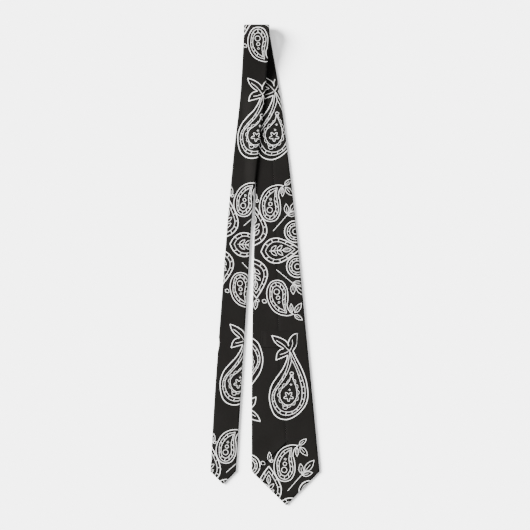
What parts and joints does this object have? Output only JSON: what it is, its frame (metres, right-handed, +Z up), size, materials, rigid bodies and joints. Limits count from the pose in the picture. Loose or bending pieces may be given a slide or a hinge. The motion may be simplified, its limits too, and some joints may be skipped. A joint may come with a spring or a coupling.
{
  "type": "necktie",
  "caption": "Printed necktie folded once at the neck and laid flat, wide blade back up with keeper loop and tipping, narrow blade on top.",
  "frame": {"origin": "on the surface the tie lies on, under the middle of its outline", "axes": "+Z up from the surface, +Y along the tie towards the neck fold, +X to the right with the blades' tips towards the viewer"},
  "size_m": [0.162, 0.713, 0.024],
  "materials": {
    "printed_cloth": "matte printed twill",
    "interlining": "brushed felt",
    "thread": "spun thread"
  },
  "bodies": {
    "wide_leg": {"wide_envelope_neck_half": "printed_cloth", "wide_interlining_neck_half": "interlining", "slip_stitches_wide_neck_half": "thread", "narrow_envelope_join_run": "printed_cloth", "narrow_interlining_join_run": "thread", "envelope_join_stitches": "thread", "interlining_join_stitches": "thread"},
    "wide_tip": {"wide_envelope_tip_half": "printed_cloth", "wide_interlining_tip_half": "interlining", "wide_tipping": "printed_cloth", "wide_hem_stitches": "thread", "wide_bar_tack": "thread", "keeper_loop": "printed_cloth", "keeper_end_stitches": "thread", "slip_stitches_wide_tip_half": "thread"},
    "neck_fold": {"narrow_envelope_fold_run": "printed_cloth", "narrow_interlining_fold_run": "interlining"},
    "neck_slope": {"narrow_envelope_slope_run": "printed_cloth", "narrow_interlining_slope_run": "interlining", "slip_stitches_slope_run": "thread"},
    "narrow_lead": {"narrow_envelope_upper_run": "printed_cloth", "narrow_interlining_upper_run": "interlining", "slip_stitches_upper_run": "thread"},
    "narrow_leg": {"narrow_envelope_middle_run": "printed_cloth", "narrow_interlining_middle_run": "interlining", "slip_stitches_middle_run": "thread"},
    "narrow_tip": {"narrow_envelope_tip_half": "printed_cloth", "narrow_interlining_tip_half": "interlining", "narrow_tipping": "printed_cloth", "narrow_hem_stitches": "thread", "narrow_bar_tack": "thread", "slip_stitches_narrow_tip_half": "thread"}
  },
  "joints": [
    {"name": "neck_fold_lower", "type": "hinge", "parent": "wide_leg", "child": "neck_fold", "pos_m": [-0.0123, 0.35313, 0.00337], "axis": [-1, 0, 0], "range_deg": [0, 90]},
    {"name": "neck_fold_upper", "type": "hinge", "parent": "neck_fold", "child": "neck_slope", "pos_m": [-0.0123, 0.35234, 0.02135], "axis": [-1, 0, 0], "range_deg": [0, 100]},
    {"name": "neck_settle", "type": "hinge", "parent": "neck_slope", "child": "narrow_lead", "pos_m": [-0.0183, 0.25476, 0.0041], "axis": [-1, 0, 0], "range_deg": [-10, 0]},
    {"name": "narrow_swing", "type": "hinge", "parent": "narrow_lead", "child": "narrow_leg", "pos_m": [-0.028, 0.165, 0.0063], "axis": [0, 0, 1], "range_deg": [-20, 1.5]},
    {"name": "narrow_bend", "type": "hinge", "parent": "narrow_leg", "child": "narrow_tip", "pos_m": [-0.0464, -0.06, 0.0042], "axis": [0.9992, 0.04, 0], "range_deg": [-150, 0]},
    {"name": "wide_bend", "type": "hinge", "parent": "wide_leg", "child": "wide_tip", "pos_m": [0.0195, -0.06, 0.0042], "axis": [-0.9993, -0.0365, 0], "range_deg": [0, 150]}
  ],
  "couplings": [
    {"joint": "neck_fold_upper", "follows": "neck_fold_lower", "ratio": 1.1111},
    {"joint": "neck_settle", "follows": "neck_fold_lower", "ratio": -0.1111}
  ]
}
